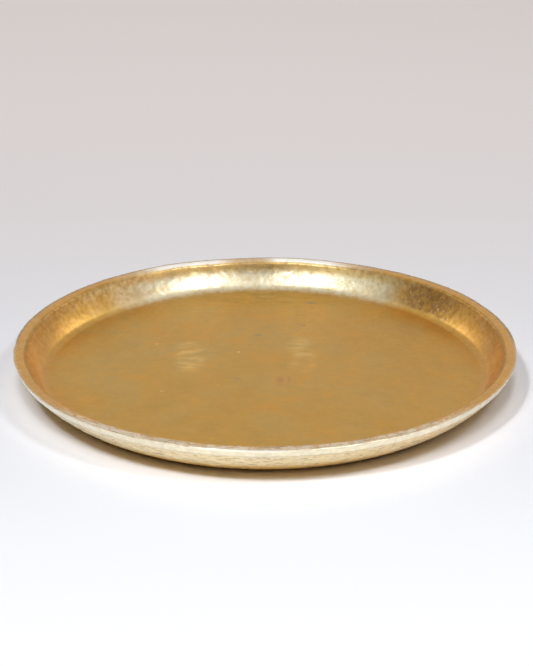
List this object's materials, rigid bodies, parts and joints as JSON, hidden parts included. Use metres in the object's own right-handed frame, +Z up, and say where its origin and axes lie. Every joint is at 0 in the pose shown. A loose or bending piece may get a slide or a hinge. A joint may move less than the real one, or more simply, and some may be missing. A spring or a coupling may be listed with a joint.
{
  "type": "candle plate",
  "caption": "Shallow round cast-metal candle plate with a flat rim, a hollow cove, a wide flat floor and felt pads under it",
  "frame": {"origin": "on the table, under the middle of the plate", "axes": "+Z up, out of the dish; -Y towards the viewer of the picture; +X to the viewer's right"},
  "size_m": [0.25, 0.25, 0.02],
  "materials": {
    "cast_metal": "sand cast, with a warm gold lacquer, worn satin",
    "felt": "pressed wool felt, matt",
    "adhesive": "double-sided film"
  },
  "bodies": {
    "root": {"plate": "cast_metal", "felt_pad_front_right": "felt", "pad_adhesive_front_right": "adhesive", "felt_pad_back_right": "felt", "pad_adhesive_back_right": "adhesive", "felt_pad_back_left": "felt", "pad_adhesive_back_left": "adhesive", "felt_pad_front_left": "felt", "pad_adhesive_front_left": "adhesive"}
  },
  "joints": []
}
